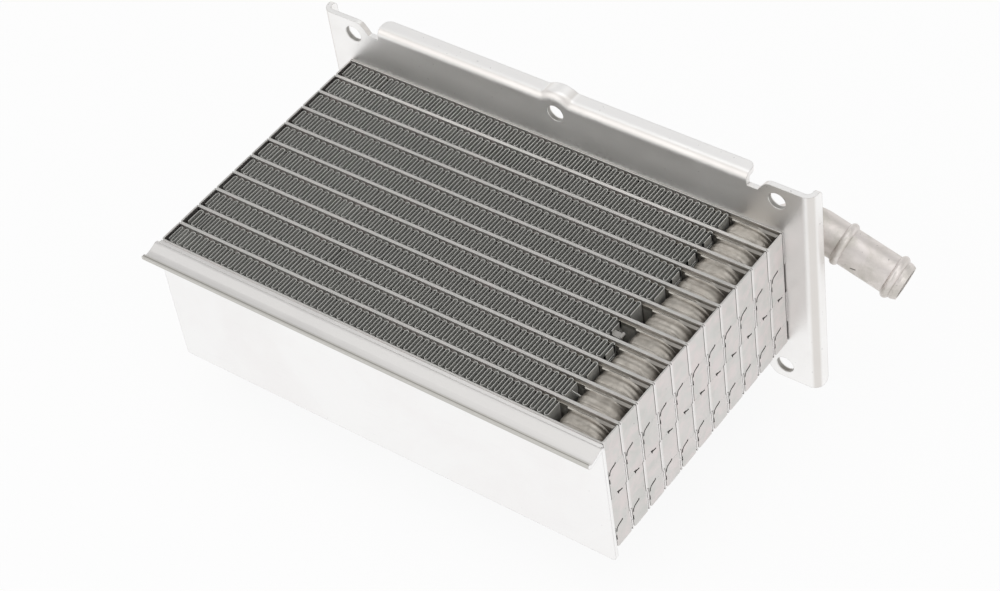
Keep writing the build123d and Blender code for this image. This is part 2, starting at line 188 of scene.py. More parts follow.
def crease_group():
    """Dirt and painted shade that stay in tight corners, and a brighter rub on outer edges."""
    tree = bpy.data.node_groups.new("Corners and edges", "ShaderNodeTree")
    group_socket(tree, "Corner reach", "Float", "INPUT", 0.001)
    group_socket(tree, "Edge reach", "Float", "INPUT", 0.0004)
    group_socket(tree, "Corner", "Float", "OUTPUT")
    group_socket(tree, "Edge", "Float", "OUTPUT")
    entry = tree.nodes.new("NodeGroupInput")
    leave = tree.nodes.new("NodeGroupOutput")
    inner = add_node(
        tree, "AmbientOcclusion", {"Distance": entry.outputs["Corner reach"]}, samples=6
    ).outputs["AO"]
    outer = add_node(
        tree, "AmbientOcclusion", {"Distance": entry.outputs["Edge reach"]}, samples=6, inside=True
    ).outputs["AO"]
    tree.links.new(smooth_step(tree, inner, 0.85, 0.35), leave.inputs["Corner"])
    tree.links.new(smooth_step(tree, outer, 0.80, 0.40), leave.inputs["Edge"])
    return tree


def scratch_group():
    """Thin scratches in two directions, broken up so that they come in short strokes."""
    tree = bpy.data.node_groups.new("Fine scratches", "ShaderNodeTree")
    group_socket(tree, "Scratches", "Float", "OUTPUT")
    leave = tree.nodes.new("NodeGroupOutput")
    place = add_node(tree, "TexCoord").outputs["Object"]
    strokes = []
    for turn, shift in ((0.5, 0.0), (-1.1, 3.7)):
        turned = add_node(
            tree, "Mapping",
            {"Vector": place, "Location": (shift, shift, shift), "Rotation": (turn, turn / 2, turn),
             "Scale": (70.0, 5200.0, 5200.0)},
        ).outputs["Vector"]
        lines = add_node(
            tree, "TexNoise", {"Vector": turned, "Scale": 1.0, "Detail": 1.0, "Roughness": 0.4}
        ).outputs["Fac"]
        strokes.append(smooth_step(tree, lines, 0.70, 0.76))
    both = reckon(tree, "MAXIMUM", *strokes)
    patches = add_node(
        tree, "TexNoise", {"Vector": place, "Scale": 45.0, "Detail": 2.0}
    ).outputs["Fac"]
    kept = reckon(tree, "MULTIPLY", both, smooth_step(tree, patches, 0.45, 0.65))
    tree.links.new(kept, leave.inputs["Scratches"])
    return tree


def facing_group():
    """Masks for edges cut square to Z, for the sheet's bends and for faces that look up."""
    tree = bpy.data.node_groups.new("Cut edges and bends", "ShaderNodeTree")
    group_socket(tree, "Cut edge", "Float", "OUTPUT")
    group_socket(tree, "Bend", "Float", "OUTPUT")
    group_socket(tree, "Upward", "Float", "OUTPUT")
    leave = tree.nodes.new("NodeGroupOutput")
    facing = add_node(tree, "TexCoord").outputs["Normal"]
    upward = add_node(tree, "SeparateXYZ", {0: facing}).outputs["Z"]
    size = add_node(tree, "VectorMath", {0: facing}, operation="ABSOLUTE").outputs[0]
    parts = add_node(tree, "SeparateXYZ", {0: size})
    larger = reckon(tree, "MAXIMUM", parts.outputs["X"], parts.outputs["Y"])
    largest = reckon(tree, "MAXIMUM", larger, parts.outputs["Z"])
    tree.links.new(smooth_step(tree, parts.outputs["Z"], 0.93, 0.99), leave.inputs["Cut edge"])
    tree.links.new(smooth_step(tree, largest, 0.985, 0.85), leave.inputs["Bend"])
    tree.links.new(smooth_step(tree, upward, 0.1, 0.75), leave.inputs["Upward"])
    return tree


braze_clouds = blotch_group()
rolled_grain = grain_group()
corners_and_edges = crease_group()
fine_scratches = scratch_group()
cut_edges_and_bends = facing_group()


def use_group(tree, group, inputs=None):
    """Places a shared effect in a material, with the material's own values."""
    made = tree.nodes.new("ShaderNodeGroup")
    made.node_tree = group
    for name, value in (inputs or {}).items():
        made.inputs[name].default_value = value
    return made


def lay_over(tree, under, colour, mask, share=None):
    """Lays a colour over a tone where the mask is one, as strongly as the share says."""
    if share is not None:
        mask = reckon(tree, "MULTIPLY", mask, share)
    return add_node(
        tree, "Mix", {"Factor": mask, "A": under, "B": (*colour, 1)}, data_type="RGBA"
    ).outputs["Result"]


def coloured_box(low, high, fade, colour, pitch=None):
    """A box of the part's own frame with a colour of its own; a pitch repeats it along Y."""
    return low, high, fade, colour, pitch


def box_mask(tree, low, high, fade, pitch):
    """One inside a coloured box, and zero outside it."""
    place = add_node(tree, "SeparateXYZ", {0: add_node(tree, "TexCoord").outputs["Object"]})
    mask = 1.0
    for axis, name in enumerate("XYZ"):
        middle = (low[axis] + high[axis]) / 2
        reach = (high[axis] - low[axis]) / 2
        away = reckon(tree, "SUBTRACT", place.outputs[name], middle)
        if pitch and name == "Y":
            away = reckon(tree, "PINGPONG", away, pitch / 2)
        inside = smooth_step(tree, reckon(tree, "ABSOLUTE", away), reach + fade, reach - fade)
        mask = reckon(tree, "MULTIPLY", mask, inside)
    return mask


def aluminium(
    name, colour, stain, roughness, cloud_size, spot_share, cloud_share=0.6, scratch_share=0.25,
    corner_share=0.5, corner_reach=0.0012, edge=RUBBED_COLOUR, edge_share=0.3, edge_reach=0.0004,
    grain=0.2, rounding=0.0003, metallic=1.0, patch=None, patch_size=0.006, top=None, bend=None,
    cut=None, boxes=(),
):
    """One brazed-aluminium finish: stains, specks, scratches, dirt and painted shade in corners,
    rubbed edges, grain.

    Patch, top, bend and cut are a colour and its share each: for a patchy bloom, for painted shade
    on faces that look up, for the bends, where a finish paints a highlight or a shade of its own,
    and for the cut edges.
    """
    material = bpy.data.materials.new(name)
    material.use_nodes = True
    tree = material.node_tree
    shader = tree.nodes["Principled BSDF"]
    clouds = use_group(
        tree, braze_clouds,
        {"Cloud size": cloud_size, "Spot size": SPOT_SIZE, "Spot share": spot_share},
    )
    tone = lay_over(tree, (*colour, 1), stain, clouds.outputs["Clouds"], cloud_share)
    tone = lay_over(tree, tone, DIRT_AND_SHADE_COLOUR, clouds.outputs["Spots"], SPOT_STRENGTH)
    if patch:
        bloom = use_group(tree, braze_clouds, {"Cloud size": patch_size}).outputs["Clouds"]
        tone = lay_over(tree, tone, patch[0], bloom, patch[1])
    facing = use_group(tree, cut_edges_and_bends)
    for place, layer in (("Upward", top), ("Bend", bend), ("Cut edge", cut)):
        if layer:
            tone = lay_over(tree, tone, layer[0], facing.outputs[place], layer[1])
    for low, high, fade, box_colour, pitch in boxes:
        tone = lay_over(tree, tone, box_colour, box_mask(tree, low, high, fade, pitch))
    if scratch_share:
        strokes = use_group(tree, fine_scratches).outputs["Scratches"]
        tone = lay_over(tree, tone, edge, strokes, scratch_share)
    if corner_reach:
        corners = use_group(
            tree, corners_and_edges, {"Corner reach": corner_reach, "Edge reach": edge_reach}
        )
        tone = lay_over(tree, tone, edge, corners.outputs["Edge"], edge_share)
        # painted shade, with dirt, in the tight corners that ambient occlusion finds
        tone = lay_over(tree, tone, DIRT_AND_SHADE_COLOUR, corners.outputs["Corner"], corner_share)
    tree.links.new(tone, shader.inputs["Base Color"])
    gloss = add_node(
        tree, "MapRange",
        {"Value": clouds.outputs["Clouds"], "To Min": roughness[0], "To Max": roughness[1]},
    ).outputs["Result"]
    tree.links.new(gloss, shader.inputs["Roughness"])
    height = use_group(tree, rolled_grain, {"Stretch": GRAIN_STRETCH}).outputs["Height"]
    bump = add_node(tree, "Bump", {"Strength": grain, "Distance": GRAIN_DEPTH, "Height": height})
    if rounding:
        rounded = add_node(tree, "Bevel", {"Radius": rounding}, samples=3)
        tree.links.new(rounded.outputs["Normal"], bump.inputs["Normal"])
    tree.links.new(bump.outputs["Normal"], shader.inputs["Normal"])
    shader.inputs["Metallic"].default_value = metallic
    return material


def dress(node, material):
    """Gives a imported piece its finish."""
    mesh = nodes[node].data
    for slot in range(len(mesh.materials)):
        mesh.materials[slot] = material


lip_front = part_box("front_end_plate")[0].y
hem_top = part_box("front_closing_plate")[1].z - HEM_BELOW_CORE
hem_low = hem_top - HEM_HEIGHT
hem_gap = lip_front + HEM_GAP_PLACE
hem_boxes = (
    coloured_box(
        (-BEYOND, lip_front - AHEAD, hem_low), (BEYOND, lip_front + HEM_WIDTH, hem_top),
        HEM_FADE, HEM_METAL_AND_SHADE,
    ),
    coloured_box(
        (-BEYOND, lip_front - AHEAD, hem_low - HEM_FACE),
        (BEYOND, lip_front + HEM_FACE_DEPTH, hem_top),
        HEM_FADE, HEM_METAL_AND_SHADE,
    ),
    coloured_box(
        (-BEYOND, hem_gap - HEM_GAP / 2, hem_low), (BEYOND, hem_gap + HEM_GAP / 2, hem_top),
        HEM_GAP_FADE, HEM_GAP_COLOUR,
    ),
)
# painted shade on the faces that look up and down the front of the lip
plate_finish = aluminium(
    "Brazed plate", PLATE_COLOUR, PLATE_SMUDGE, (0.36, 0.46), cloud_size=0.05, cloud_share=0.35,
    spot_share=0.05, edge=PLATE_EDGE, edge_share=0.6, edge_reach=0.0007, top=(GUTTER_SHADE_COLOUR, 1.0),
    boxes=hem_boxes,
)
dress("front_end_plate", plate_finish)


# Pressed sheets: the tube halves and the closing plates. Thin aluminium clad with braze metal,
# pressed with the coolant channel and cups, stacked, and brazed in a furnace.

SHEET_COLOUR = (0.69, 0.68, 0.66)
SHEET_STAIN = (0.64, 0.64, 0.615)
SHEET_PATCH = (0.78, 0.71, 0.70)  # pinkish bloom of the braze flux
SHEET_CUT = (0.50, 0.495, 0.475)
PAD_COLOUR = (0.50, 0.475, 0.435)  # raised ends of the channel, which carry the cups
PAD_RIGHT = 92.6 * MM
PAD_TOP = 26.3 * MM
PAD_FADE = 0.3 * MM
OPEN_SHEET_LIGHT = (0.93, 0.91, 0.87)  # painted light on the shaded sheet between the last fin leg and the cups
OPEN_SHEET_LEFT = 62.0 * MM
OPEN_SHEET_RIGHT = 73.4 * MM
OPEN_SHEET_TOP = 23.8 * MM
OPEN_SHEET_FADE = 0.6 * MM
POCKET_SHADE_COLOUR = (0.27, 0.255, 0.235)  # painted shade in the corner between the cups and the fingers
POCKET_LEFT = 85.5 * MM
POCKET_FADE = 1.5 * MM
SEAM_HIGHLIGHT_COLOUR = (0.93, 0.905, 0.895)  # painted highlight along each tube's rim, where the fingers bend off, and on the sheet's bends
SEAM_WIDTH = 0.9 * MM
SEAM_DEPTH = 0.9 * MM
SEAM_BELOW_TOP = 0.4 * MM
SEAM_FADE = 0.25 * MM
# painted shade in the grooves just inside the end faces
CREASE_SHADE_COLOUR = (0.21, 0.20, 0.19)
CREASE_NEAR = 0.2 * MM
CREASE_FAR = 0.6 * MM
CREASE_FADE = 0.06 * MM
TUBE_PITCH = 10.0 * MM
TUBES = 10

stack_low, stack_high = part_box("tube_05_rear_half")
seam_top = stack_high.z - SEAM_BELOW_TOP
sheet_boxes = [
    coloured_box(
        (OPEN_SHEET_LEFT, -BEYOND, -PAD_TOP), (PAD_RIGHT, BEYOND, PAD_TOP), PAD_FADE, PAD_COLOUR
    ),
    coloured_box(
        (OPEN_SHEET_LEFT, -BEYOND, -OPEN_SHEET_TOP), (OPEN_SHEET_RIGHT, BEYOND, OPEN_SHEET_TOP),
        OPEN_SHEET_FADE, OPEN_SHEET_LIGHT,
    ),
    coloured_box(
        (POCKET_LEFT, -BEYOND, -PAD_TOP), (PAD_RIGHT, BEYOND, PAD_TOP), POCKET_FADE, POCKET_SHADE_COLOUR
    ),
]
# painted highlight along each seam of the end faces, and painted shade in the grooves just inside
# them
for end, inward in ((stack_low.x, 1), (stack_high.x, -1)):
    face = sorted((end - inward * AHEAD, end + inward * SEAM_DEPTH))
    crease = sorted((end + inward * CREASE_NEAR, end + inward * CREASE_FAR))
    sheet_boxes += [
        coloured_box(
            (face[0], -SEAM_WIDTH / 2, -BEYOND), (face[1], SEAM_WIDTH / 2, seam_top),
            SEAM_FADE, SEAM_HIGHLIGHT_COLOUR, TUBE_PITCH,
        ),
        coloured_box(
            (crease[0], -BEYOND, -BEYOND), (crease[1], BEYOND, seam_top), CREASE_FADE, CREASE_SHADE_COLOUR
        ),
    ]
# painted highlight on the bends and seams, painted shade in the end grooves and the pocket, painted
# light on the open sheet
sheet_finish = aluminium(
    "Pressed sheet", SHEET_COLOUR, SHEET_STAIN, (0.40, 0.5), cloud_size=0.014, spot_share=0.06,
    scratch_share=0.15, corner_share=0.85, corner_reach=0.0009, edge_share=0.2, rounding=0.0002,
    patch=(SHEET_PATCH, 0.8), bend=(SEAM_HIGHLIGHT_COLOUR, 0.9), cut=(SHEET_CUT, 0.7), boxes=sheet_boxes,
)
dress("front_closing_plate", sheet_finish)
dress("rear_closing_plate", sheet_finish)
for tube in range(1, TUBES + 1):
    dress(f"tube_{tube:02d}_front_half", sheet_finish)
    dress(f"tube_{tube:02d}_rear_half", sheet_finish)


# Rings of the deep cups. Each cup is drawn in steps, which leaves soft, uneven rings in its wall;
# this skin lies over the wall and gives it that form, from one tube to the next.

CUP_LEFT = 74.4 * MM
CUP_RIGHT = 91.7 * MM
CUP_TOP = 24.7 * MM
CUP_BOTTOM = 2.2 * MM
CUP_OUTER_CORNER = 8.2 * MM
CUP_INNER_CORNER = 4.0 * MM
CUP_START = 1.62 * MM  # face of the pad, from the middle of its tube
CUP_END = 8.38 * MM
CUP_SEAM = 7.2 * MM  # where the deep cup meets the shallow one
CUP_COLOUR = (0.40, 0.37, 0.33)  # drawn deep, so the cups keep a warmer, duller skin
CUP_STAIN = (0.31, 0.29, 0.26)
CUP_PATCH = (0.53, 0.50, 0.455)
SKIN_LEAST = 0.14 * MM  # how far the skin stands off the cup's wall at least
SKIN_FOOT = 0.65 * MM  # and at its ends, where it falls away fast along the cup
SKIN_FOOT_FALL = 16
SKIN_CROWN = 0.8 * MM  # what the full middle adds; a power below one makes it broad
SKIN_CROWN_POWER = 0.8
SKIN_RING = 0.11 * MM  # what the rings add
SKIN_RINGS = 3.0
SKIN_STEPS = 34
SKIN_CORNER_STEPS = 9
SEAM_DIP = 0.3 * MM  # how far the skin draws in where the two cups meet
SEAM_DIP_WIDTH = 0.16 * MM
RING_WAVES = ((2, 1.0, 0.5), (5, 2.3, 0.3))  # round the cup: how many, share of the phase, height
RING_SHARE = 0.6  # of each ring that is there all round; the rest comes and goes
RING_PATCHES = 3  # round the cup, turned by the phase and twisted along the cup
RING_PATCH_TURN = 1.7
RING_PATCH_TWIST = 4
ROW_PHASE = 1.9  # from one row to the next, so that no two cups are alike
LOWER_CUP_PHASE = 1.0


def skin_standoff(along, around, phase):
    """How far the skin stands off the cup's wall; along runs from 0 to 1, around in radians."""
    foot = math.exp(-along * SKIN_FOOT_FALL) + math.exp(-(1 - along) * SKIN_FOOT_FALL)
    crown = SKIN_CROWN * math.sin(math.pi * along) ** SKIN_CROWN_POWER
    wander = sum(
        height * math.sin(waves * around + share * phase) for waves, share, height in RING_WAVES
    )
    rings = math.cos(2 * math.pi * SKIN_RINGS * along + phase + wander)
    patchy = RING_SHARE + (1 - RING_SHARE) * math.sin(
        RING_PATCHES * around + RING_PATCH_TURN * phase + RING_PATCH_TWIST * along
    )
    from_seam = CUP_START + along * (CUP_END - CUP_START) - CUP_SEAM
    seam = math.exp(-(from_seam / SEAM_DIP_WIDTH) ** 2)
    return (
        SKIN_LEAST + crown + SKIN_RING * (1 + rings * patchy)
        + (SKIN_FOOT - SKIN_LEAST) * min(foot, 1.0) - SEAM_DIP * seam
    )


def cup_corners(top, bottom):
    """Corners of the cup's outline, clockwise: middle in X and Z, radius and starting angle."""
    outer, inner = CUP_OUTER_CORNER, CUP_INNER_CORNER
    return (
        (CUP_RIGHT - outer, top - outer, outer, 90),
        (CUP_RIGHT - outer, bottom + outer, outer, 0),
        (CUP_LEFT + inner, bottom + inner, inner, -90),
        (CUP_LEFT + inner, top - inner, inner, 180),
    )


def cup_skin(vertices, faces, plane, top, bottom, phase):
    """Adds one cup's skin, in front of the tube whose middle plane is given."""
    first = len(vertices)
    outline = []
    for x, z, radius, start in cup_corners(top, bottom):
        for step in range(SKIN_CORNER_STEPS + 1):
            outline.append((x, z, radius, math.radians(start - 90 * step / SKIN_CORNER_STEPS)))
    count = len(outline)
    for level in range(SKIN_STEPS + 1):
        along = level / SKIN_STEPS
        y = plane - CUP_START - along * (CUP_END - CUP_START)
        for x, z, radius, turn in outline:
            reach = radius + skin_standoff(along, turn, phase)
            vertices.append((x + reach * math.cos(turn), y, z + reach * math.sin(turn)))
    for level in range(SKIN_STEPS):
        for index in range(count):
            here = first + level * count + index
            there = first + level * count + (index + 1) % count
            faces.append((here, here + count, there + count, there))


def new_piece(name, vertices, faces, finish):
    """Makes a piece that isn't in the pack, and gives it its finish."""
    mesh = bpy.data.meshes.new(name)
    mesh.from_pydata(vertices, [], faces)
    mesh.materials.append(finish)
    piece = bpy.data.objects.new(name, mesh)
    bpy.context.collection.objects.link(piece)
    return piece


cup_finish = aluminium(
    "Drawn cup", CUP_COLOUR, CUP_STAIN, (0.40, 0.55), cloud_size=0.005, cloud_share=0.75,
    spot_share=0.08, scratch_share=0.2, corner_share=0.8, corner_reach=0.0015, edge_share=0.0,
    grain=0.45, rounding=0.0, patch=(CUP_PATCH, 0.7), patch_size=0.003,
)
tube_backs = [f"tube_{tube:02d}_front_half" for tube in range(1, TUBES + 1)]
for row, back in enumerate([*tube_backs, "rear_closing_plate"], start=1):
    vertices, faces = [], []
    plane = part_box(back)[1].y
    phase = ROW_PHASE * row
    cup_skin(vertices, faces, plane, CUP_TOP, CUP_BOTTOM, phase)
    cup_skin(vertices, faces, plane, -CUP_BOTTOM, -CUP_TOP, phase + LOWER_CUP_PHASE)
    piece = new_piece(f"cup_rings_{row:02d}", vertices, faces, cup_finish)
    piece.data.shade_smooth()
    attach(piece, "root")


# Braze in the end seams. Braze metal fills the joints between the fingers and the rims of the tubes
# from behind, so only a shallow groove is left.

SEAM_FILL_OUT = 0.16 * MM  # below the face of the fingers
SEAM_FILL_IN = 0.42 * MM
SEAM_FILL_TO_END = 1.0 * MM
SEAM_FILL_REACH = 1.0 * MM  # each way from the middle of a tube


def prism(vertices, faces, near, far):
    """Adds a solid between two like outlines; the near one runs clockwise, seen from outside."""
    first = len(vertices)
    count = len(near)
    vertices += near + far
    end = list(range(first, first + count))
    faces.append(end[::-1])
    faces.append([corner + count for corner in end])
    for here, there in zip(end, end[1:] + end[:1]):
        faces.append((here, there, there + count, here + count))


fill_bottom = stack_low.z + SEAM_FILL_TO_END
fill_top = stack_high.z - SEAM_FILL_TO_END
for name, outer, inner in (
    ("left_seam_braze", stack_low.x + SEAM_FILL_OUT, stack_low.x + SEAM_FILL_IN),
    ("right_seam_braze", stack_high.x - SEAM_FILL_OUT, stack_high.x - SEAM_FILL_IN),
):
    vertices, faces = [], []
    for back in tube_backs:
        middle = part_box(back)[1].y
        front, rear = middle - SEAM_FILL_REACH, middle + SEAM_FILL_REACH
        outline = ((rear, fill_top), (front, fill_top), (front, fill_bottom), (rear, fill_bottom))
        near, far = ([(x, y, z) for y, z in outline] for x in sorted((outer, inner)))
        prism(vertices, faces, near, far)
    piece = new_piece(name, vertices, faces, sheet_finish)
    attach(piece, "root")


# Braze fillet. Braze metal that ran into the groove between the front closing plate's rim and the
# rounded crest of the end plate, and set flush with both.

FILLET_BELOW_TOP = 0.35 * MM
FILLET_DEPTH = 2.2 * MM
FILLET_WIDTH = 1.3 * MM
FILLET_FALL = 0.25 * MM
FILLET_OVERLAP = 0.02 * MM  # with the closing plate

fillet_low, fillet_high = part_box("front_closing_plate")
fillet_rear = fillet_low.y + FILLET_OVERLAP
fillet_front = fillet_rear - FILLET_WIDTH
fillet_top = fillet_high.z - FILLET_BELOW_TOP
outline = (
    (fillet_rear, fillet_top), (fillet_front, fillet_top - FILLET_FALL),
    (fillet_front, fillet_top - FILLET_DEPTH), (fillet_rear, fillet_top - FILLET_DEPTH),
)
near, far = ([(x, y, z) for y, z in outline] for x in (fillet_low.x, fillet_high.x))
vertices, faces = [], []
prism(vertices, faces, near, far)
piece = new_piece("braze_fillet", vertices, faces, plate_finish)
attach(piece, "root")


# Air fins. Each is one long strip of thin sheet, folded back and forth between two tubes and brazed
# to them at every rounded fold. Handling has bent some of the legs along the top.

FIN_COLOUR = (0.65, 0.65, 0.625)
FIN_STAIN = (0.57, 0.57, 0.545)
FIN_CUT = (0.60, 0.595, 0.57)
FIN_ROWS = 11
FIN_SHEET = 0.2 * MM
FIN_LEG_PITCH = 1.45 * MM
FOLD_STEPS = 5  # straight pieces in each fold
FIN_LEVELS = (0.0, 0.3, 1.5, 4.0, 9.0)  # below the top, in millimetres; dents fade out with depth

# Dents along the top of a row: where along the row, how far each way they reach, and how far the
# legs lean, all in millimetres from the row's left end.
FIN_DENTS = {
    11: ((18.0, 4.0, 0.7),),
    10: ((8.0, 6.0, -0.5), (79.0, 14.0, 0.6)),
    6: ((8.0, 2.0, 0.6),),
    5: ((47.0, 4.0, -0.7),),
    3: ((59.0, 6.0, 0.6),),
    2: ((3.0, 4.0, 0.8),),
    1: ((4.0, 5.0, -0.7),),
}
DENT_EASE = 2  # how fast the lean dies away on both sides of a dent
UNEVEN = 0.07 * MM  # how far a leg strays from its place
LOUVRED_ENDS = (4, 5, 8, 9, 10)  # rows whose strip was cut off behind a louvred leg
LOUVRE_PITCH = 1.05 * MM
LOUVRE_HEIGHT = 0.62 * MM
LOUVRE_TURN = math.radians(-34)
LOUVRES_BELOW_TOP = 3.2 * MM
FIRST_LOUVRE = 0.6  # of a pitch below that
LEG_BORDER = 0.9 * MM  # plain sheet round the louvres
TONGUE_ROW = 5
# painted shade on the flat tongue, which faces up
TONGUE_SHADE_COLOUR = (0.36, 0.35, 0.33)
TONGUE_SHADE_OUT = 6.0 * MM  # the box that has this colour, past the fin's end and down
TONGUE_SHADE_DEPTH = 4.0 * MM
TONGUE_FADE = 0.1 * MM
TONGUE_LENGTH = 3.6 * MM
TONGUE_WIDTH = 2.4 * MM
TONGUE_PLACE = 1.2 * MM
TONGUE_BELOW_TOP = 1.2 * MM
TONGUE_FALL = 0.5 * MM
TONGUE_CURL = 0.6 * MM
CURL_STEPS = 7
CURL_TURN = math.radians(30)  # of each step
SLIVER_ROW = 2
SLIVER_LENGTH = 3.4 * MM
SLIVER_HEIGHT = 0.9 * MM
SLIVER_FALL = 0.7 * MM
SLIVER_BELOW_TOP = 0.9 * MM


def fold_path(low, high, legs, row):
    """The middle of the strip seen from above: straight legs joined by half circles."""
    radius = FIN_LEG_PITCH / 2
    near = low.y + FIN_SHEET / 2
    far = high.y - FIN_SHEET / 2
    chance = random.Random(row)
    places = [low.x + FIN_SHEET / 2 + leg * FIN_LEG_PITCH for leg in range(legs)]
    places[1:-1] = [place + chance.uniform(-UNEVEN, UNEVEN) for place in places[1:-1]]
    path = [(places[0], near + radius)]
    for leg, (here, there) in enumerate(zip(places, places[1:])):
        up = leg % 2 == 0
        middle = (here + there) / 2
        reach = (there - here) / 2
        for step in range(FOLD_STEPS + 1):
            angle = math.pi * (1 - step / FOLD_STEPS)
            rise = radius * math.sin(angle)
            y = far - radius + rise if up else near + radius - rise
            path.append((middle + reach * math.cos(angle), y))
    if row not in LOUVRED_ENDS:
        path.append((places[-1], near + radius if legs % 2 == 0 else far - radius))
    return path


def strip_sides(path):
    """Both faces of a strip whose middle follows a path: the left one, and back along the right."""
    points = [Vector(point) for point in path]
    left, right = [], []
    for index, point in enumerate(points):
        before = points[max(index - 1, 0)]
        after = points[min(index + 1, len(points) - 1)]
        along = (after - before).normalized()
        side = Vector((-along.y, along.x)) * (FIN_SHEET / 2)
        left.append(point + side)
        right.append(point - side)
    return left + right[::-1]


def strip_faces(faces, first, count, levels):
    """Closes a strip whose sides repeat at each level, with count points a level."""
    for level in range(levels - 1):
        for index in range(count):
            here = first + level * count + index
            there = first + level * count + (index + 1) % count
            faces.append((here, there, there + count, here + count))
    last = (levels - 1) * count
    for index in range(count // 2 - 1):
        here = first + index
        across = first + count - 1 - index
        faces.append((here, across, across - 1, here + 1))
        faces.append((last + here, last + here + 1, last + across - 1, last + across))


def ribbon(vertices, faces, path, low_y, high_y):
    """Adds a strip whose middle follows a path in X and Z, as wide as Y goes."""
    sides = strip_sides(path)
    strip_faces(faces, len(vertices), len(sides), 2)
    for y in (low_y, high_y):
        vertices.extend((point.x, y, point.y) for point in sides)


def louvred_leg(vertices, faces, x, low, high):
    """The last leg: a plain border round a ladder of turned slats."""
    near, far = low.y + FIN_LEG_PITCH / 2, high.y - FIN_LEG_PITCH / 2
    slats_top = high.z - LOUVRES_BELOW_TOP
    slats_bottom = low.z + LEG_BORDER
    ribbon(vertices, faces, [(x, low.z), (x, high.z)], near, near + LEG_BORDER)
    ribbon(vertices, faces, [(x, low.z), (x, high.z)], far - LEG_BORDER, far)
    ribbon(vertices, faces, [(x, slats_top), (x, high.z)], near, far)
    ribbon(vertices, faces, [(x, low.z), (x, slats_bottom)], near, far)
    across = LOUVRE_HEIGHT / 2 * math.sin(LOUVRE_TURN)
    along = LOUVRE_HEIGHT / 2 * math.cos(LOUVRE_TURN)
    for slat in range(int((slats_top - slats_bottom) / LOUVRE_PITCH)):
        z = slats_top - (slat + FIRST_LOUVRE) * LOUVRE_PITCH
        path = [(x + across, z - along), (x - across, z + along)]
        ribbon(vertices, faces, path, near + LEG_BORDER, far - LEG_BORDER)


def tongue(vertices, faces, x, low, high):
    """A flap of the cut strip, bent out flat beside the front tube, with its end curled up."""
    z = high.z - TONGUE_BELOW_TOP
    path = [(x, z), (x + TONGUE_LENGTH, z - TONGUE_FALL)]
    for step in range(1, CURL_STEPS + 1):
        turn = step * CURL_TURN
        path.append((
            x + TONGUE_LENGTH + TONGUE_CURL * math.sin(turn),
            z - TONGUE_FALL + TONGUE_CURL * (1 - math.cos(turn)),
        ))
    ribbon(vertices, faces, path, low.y + TONGUE_PLACE, low.y + TONGUE_PLACE + TONGUE_WIDTH)


def sliver(vertices, faces, x, low, high):
    """A narrow scrap of the strip that stands on edge past the last fold."""
    middle = (low.y + high.y) / 2
    start = x + FIN_SHEET
    end = start + SLIVER_LENGTH
    top = high.z - SLIVER_BELOW_TOP
    end_top = top - SLIVER_FALL
    outline = (
        (start, top), (end, end_top), (end, end_top - SLIVER_HEIGHT), (start, top - SLIVER_HEIGHT)
    )
    near, far = ([(x, y, z) for x, z in outline] for y in (middle - FIN_SHEET, middle))
    prism(vertices, faces, near, far)


def fin_shape(row):
    """Vertices and faces of one row's folded strip, dented along its top, with its loose ends."""
    low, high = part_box(f"fin_{row:02d}")
    legs = 1 + round((high.x - low.x - FIN_SHEET) / FIN_LEG_PITCH)
    sides = strip_sides(fold_path(low, high, legs, row))
    depths = [depth * MM for depth in FIN_LEVELS] + [high.z - low.z]
    vertices, faces = [], []
    for depth in depths:
        fade = max(0.0, 1 - depth / (FIN_LEVELS[-1] * MM)) ** 2
        for point in sides:
            lean = 0.0
            for place, reach, shift in FIN_DENTS.get(row, ()):
                away = (point.x - low.x - place * MM) / (reach * MM)
                lean += shift * MM * math.exp(-DENT_EASE * away * away)
            vertices.append((point.x + lean * fade, point.y, high.z - depth))
    strip_faces(faces, 0, len(sides), len(depths))
    last_leg = low.x + FIN_SHEET / 2 + (legs - 1) * FIN_LEG_PITCH
    if row in LOUVRED_ENDS:
        louvred_leg(vertices, faces, last_leg, low, high)
    if row == TONGUE_ROW:
        tongue(vertices, faces, last_leg, low, high)
    if row == SLIVER_ROW:
        sliver(vertices, faces, last_leg, low, high)
    return vertices, faces


torn_low, torn_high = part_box(f"fin_{TONGUE_ROW:02d}")
tongue_shade_box = coloured_box(
    (torn_high.x, torn_low.y, torn_high.z - TONGUE_SHADE_DEPTH),
    (torn_high.x + TONGUE_SHADE_OUT, torn_high.y, torn_high.z),
    TONGUE_FADE, TONGUE_SHADE_COLOUR,
)
fin_finish = aluminium(
    "Fin strip", FIN_COLOUR, FIN_STAIN, (0.42, 0.52), cloud_size=0.008, spot_share=0.03,
    scratch_share=0.0, corner_reach=0.0, rounding=0.0, metallic=0.72, cut=(FIN_CUT, 0.9),
    boxes=(tongue_shade_box,),
)
for row in range(1, FIN_ROWS + 1):
    piece = new_piece(f"folded_fin_{row:02d}", *fin_shape(row), fin_finish)
    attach(piece, "root")
    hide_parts(f"fin_{row:02d}")


# Flange. A 2 mm sheet with six screw holes, bent back along its ends, top and bottom so that it
# stays flat on the manifold. The core is brazed to its front.

FLANGE_COLOUR = (0.985, 0.975, 0.965)
FLANGE_STAIN = (0.90, 0.885, 0.87)
FLANGE_EDGE = (0.56, 0.545, 0.52)
# painted shade on the flange's bends, which damps their reflection
FLANGE_BEND_SHADE = (0.76, 0.73, 0.70)
FLANGE_SHEET = 2.0 * MM
BORE_SHADE_COLOUR = (0.34, 0.33, 0.31)  # painted shade on the walls of the screw holes
BORE_REACH = 3.6 * MM
BORE_FROM_FACE = 0.3 * MM
BORE_FADE = 0.1 * MM
SCREW_SIDE = 92 * MM  # the screws' places on both sides of the middle, and above and below it
SCREW_RISE = 41 * MM

